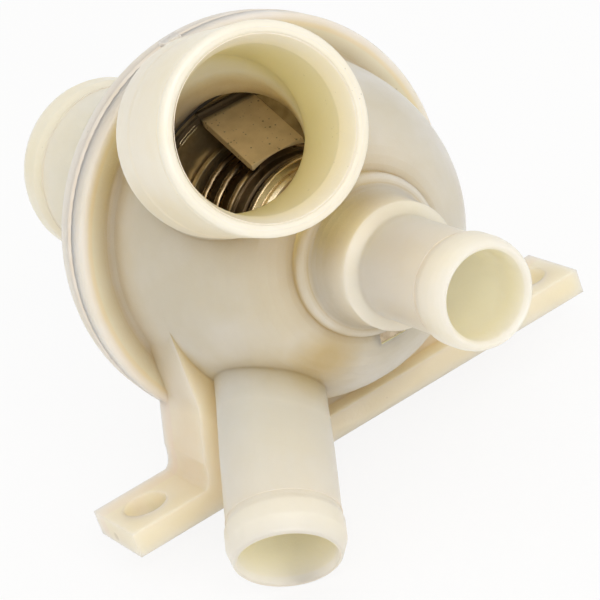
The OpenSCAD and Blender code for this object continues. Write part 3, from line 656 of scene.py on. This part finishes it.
# Painted shade: the cage is painted dark towards its foot, where it lies on the plate.
strip_thick, shade_starts, shade_full = 0.0012, 0.0016, 0.0006
foot_face_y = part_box("cage")[1][1] - strip_thick
cage_foot_painted_shade = ((0.10, 0.075, 0.045, 1), foot_face_y - shade_starts, foot_face_y - shade_full)
dress("cage", dull_metal("rolled brass strip", light=(0.93, 0.76, 0.44, 1),
                         dark=(0.80, 0.64, 0.35, 1), speck=(0.16, 0.12, 0.06, 1),
                         roughness=(0.42, 0.6), speck_size=0.45, speck_share=0.3, skin=0.00005,
                         metal=0.55, shade_towards_plate=cage_foot_painted_shade))

# ---------------------------------------------------------------- cage tongue
# Beside each leg a narrow tongue is pressed up out of the cage's foot and keeps the strip from
# turning under the plate's gasket. Only its edge is drawn, as a thin bright loop: a painted
# highlight.

tongue_width, tongue_wire, tongue_steps = 0.0006, 0.00008, 7
tongue_reach, tongue_start, tongue_end, tongue_tip = 0.0252, 106.5, 116.5, 117.3


def tongue(name, turned):
    """The bright edge, a painted highlight: a long narrow loop that follows the foot ring."""
    edge = bpy.data.curves.new(name, "CURVE")
    edge.dimensions = "3D"
    edge.bevel_depth, edge.bevel_resolution = tongue_wire, 2
    path = edge.splines.new("POLY")
    angles = [tongue_start + (tongue_end - tongue_start) * step / tongue_steps
              for step in range(tongue_steps + 1)]
    points = [(tongue_reach - tongue_width / 2, angle) for angle in angles]
    points += [(tongue_reach + side * tongue_width / 4, tongue_tip) for side in (-1, 1)]
    points += [(tongue_reach + tongue_width / 2, angle) for angle in reversed(angles)]
    path.points.add(len(points) - 1)
    for point, (radius, angle) in zip(path.points, points):
        angle = math.radians(angle + turned)
        point.co = (radius * math.cos(angle), foot_face_y - tongue_wire / 2,
                    valve_axis_height + radius * math.sin(angle), 1)
    piece = bpy.data.objects.new(name, edge)
    bpy.context.scene.collection.objects.link(piece)
    return piece


bright_brass_glint = dull_metal("bright brass glint", light=(0.92, 0.80, 0.58, 1),
                        dark=(0.78, 0.66, 0.44, 1), speck=(0.4, 0.3, 0.18, 1),
                        roughness=(0.16, 0.26), speck_size=0.2, speck_share=0.08, skin=0.00001)
for number, turned in enumerate((0, 180), 1):
    loop = tongue(f"cage_tongue_{number}", turned)
    loop.data.materials.append(bright_brass_glint)
    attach(loop, "housing")

# ---------------------------------------------------------------- spring seat and bypass disc
# Both are turned over rings pressed from thinner sheet. The seat is painted dark brown as
# painted shade in its recess; the disc is polished by use.

dress("spring_seat", dull_metal("sheet in painted shade", light=(0.20, 0.15, 0.09, 1),
                                dark=(0.11, 0.08, 0.05, 1), speck=(0.03, 0.02, 0.015, 1),
                                roughness=(0.3, 0.45)))
dress("bypass_disc", dull_metal("polished sheet", light=(0.78, 0.68, 0.50, 1),
                                dark=(0.60, 0.50, 0.34, 1), speck=(0.25, 0.19, 0.11, 1),
                                roughness=(0.16, 0.28), speck_size=0.12))

# ---------------------------------------------------------------- bright lines on the disc
# The disc's turned edge and the foot of its raised ring show as thin bright rings of brass:
# painted highlights along the edges.

disc_step = 0.0019
disc_front_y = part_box("bypass_disc")[0][1] + disc_step
for name, along, radius, thick in (("disc_edge_line", 0.00003, 0.01672, 0.00016),
                                   ("disc_ring_foot_line", 0.0, 0.01535, 0.00010)):
    ring = fine_ring(name, Vector((0, disc_front_y - along, valve_axis_height)), valve_axis,
                     radius, thick)
    ring.data.materials.append(bright_brass_glint)
    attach(ring, "bypass")

# ---------------------------------------------------------------- wax capsule
# A drawn brass cup with its stem and guide, turned on a lathe: faint bands run round the axis.
# It holds the wax and the rubber sleeve, which stay hidden inside.

cup_light, cup_dark = (0.62, 0.44, 0.22, 1), (0.45, 0.31, 0.15, 1)
band_frequency, band_waver = 100, 0.4

cup_brass, tree, shader = new_material("turned brass")
cloud = clouded(tree, patches=200, skin=1800, specks=900, speck_size=0.12)
tree.links.new(mix_colour(tree, cloud.outputs["Patch"], cup_light, cup_dark),
               shader.inputs["Base Color"])
shader.inputs["Metallic"].default_value = 1.0
tree.links.new(map_range(tree, cloud.outputs["Patch"], 0, 1, 0.24, 0.38),
               shader.inputs["Roughness"])
bands = tree.nodes.new("ShaderNodeTexWave")
bands.bands_direction = "Y"
bands.inputs["Scale"].default_value = band_frequency
bands.inputs["Distortion"].default_value = band_waver
tree.links.new(own_place(tree), bands.inputs["Vector"])
bumped(tree, bands.outputs["Fac"], shader, depth=0.00003, strength=0.5, rounding=0.0002)
for node in ("wax_cup", "bypass_stem", "guide_bush"):
    dress(node, cup_brass)


def plain_soft(name, light, dark, roughness, skin_scale):
    """Rubber or wax: faint patches and a fine skin."""
    material, tree, shader = new_material(name)
    cloud = clouded(tree, patches=180, skin=skin_scale, specks=700, speck_size=0.1)
    tree.links.new(mix_colour(tree, cloud.outputs["Patch"], light, dark),
                   shader.inputs["Base Color"])
    tree.links.new(map_range(tree, cloud.outputs["Height"], 0.3, 0.7, *roughness),
                   shader.inputs["Roughness"])
    bumped(tree, cloud.outputs["Height"], shader, depth=0.00005, strength=0.6, rounding=0.0002)
    return material


dress("wax_charge", plain_soft("wax", light=(0.72, 0.58, 0.36, 1), dark=(0.62, 0.47, 0.27, 1),
                               roughness=(0.42, 0.58), skin_scale=900))

# ---------------------------------------------------------------- coil springs
# Two coils of drawn wire, gone straw coloured, that shine along their length: the large one closes
# the valve, the small one lets the bypass disc give way.

# The wire is painted dark: painted shade for the coils deep inside the housing.
straw_wire_painted_shade = dull_metal("straw wire in painted shade", light=(0.34, 0.26, 0.16, 1),
                        dark=(0.20, 0.145, 0.085, 1), speck=(0.06, 0.045, 0.03, 1),
                        roughness=(0.18, 0.3), speck_size=0.2, speck_share=0.1, skin=0.00001)
same_coil_point = 1e-6


def sprung(node):
    """The coil's skin made smooth and set on the body that carries it, in place of the solid."""
    coil = bmesh.new()
    coil.from_mesh(frame["nodes"][node].data)
    bmesh.ops.remove_doubles(coil, verts=coil.verts, dist=same_coil_point)
    for face in coil.faces:
        face.smooth = True
    piece = placed(f"{node}_wire", coil)
    piece.data.materials.append(straw_wire_painted_shade)
    behaviour = frame["record"]["behaviour"]
    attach(piece, [body for body, nodes in behaviour["bodies"].items() if node in nodes][0])
    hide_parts(node)
    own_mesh(piece)


sprung("main_spring")
sprung("bypass_spring")

# ---------------------------------------------------------------- piston, clip and washer
# Ground steel: the pin that the wax pushes against, and the clip and washer that keep
# the bypass disc on its stem.

ground_steel = dull_metal("ground steel", light=(0.60, 0.58, 0.55, 1),
                          dark=(0.45, 0.42, 0.38, 1), speck=(0.15, 0.12, 0.1, 1),
                          roughness=(0.22, 0.36), speck_size=0.2, speck_share=0.08, skin=0.00001)
for node in ("piston", "stem_clip", "stem_washer"):
    dress(node, ground_steel)

# ---------------------------------------------------------------- rubber pieces
# Moulded black rubber: the edge gasket of the plate, the joint seal, the valve's soft lip and
# the sleeve in the capsule. Matt, with a grey bloom in patches.

black_rubber = plain_soft("black rubber", light=(0.022, 0.020, 0.018, 1),
                          dark=(0.045, 0.04, 0.035, 1), roughness=(0.54, 0.70), skin_scale=1500)
for node in ("plate_gasket", "joint_seal", "valve_lip", "rubber_sleeve"):
    dress(node, black_rubber)
